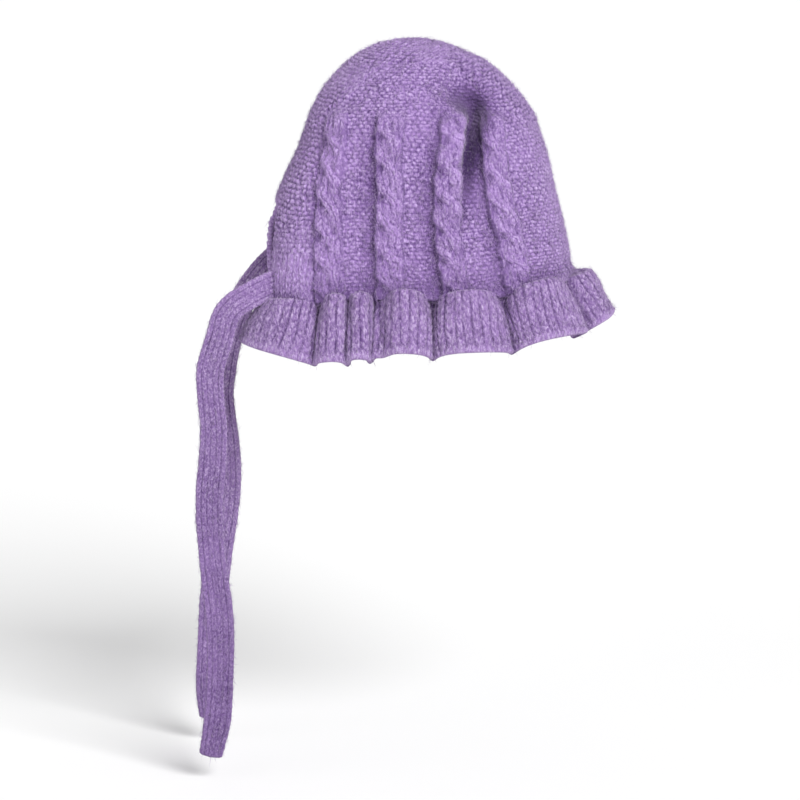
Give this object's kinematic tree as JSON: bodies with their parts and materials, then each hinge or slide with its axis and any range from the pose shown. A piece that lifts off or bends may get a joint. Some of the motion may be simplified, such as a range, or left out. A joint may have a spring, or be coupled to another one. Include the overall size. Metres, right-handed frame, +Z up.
{
  "type": "knitted winter bonnet",
  "caption": "Soft knitted bonnet for a small child with cabled sides, a gathered ruffle round the lower edge and two long flat ties.",
  "frame": {"origin": "the highest point of the hollow, where the crown sits on the head, stated by mount head_seat", "axes": "+Z up, -X toward the face opening, +X toward the back of the head, -Y the near side of the picture"},
  "size_m": [0.2635, 0.159, 0.4417],
  "materials": {
    "knit_body": "lavender brushed yarn, cabled and seed-stitch knit with a soft halo",
    "knit_ruffle": "lavender brushed yarn, stockinette knit gathered into folds",
    "knit_tie": "lavender brushed yarn, narrow stockinette strips"
  },
  "bodies": {
    "root": {"body": "knit_body", "ruffle": "knit_ruffle", "tie_near": "knit_tie", "tie_far": "knit_tie"}
  },
  "joints": []
}
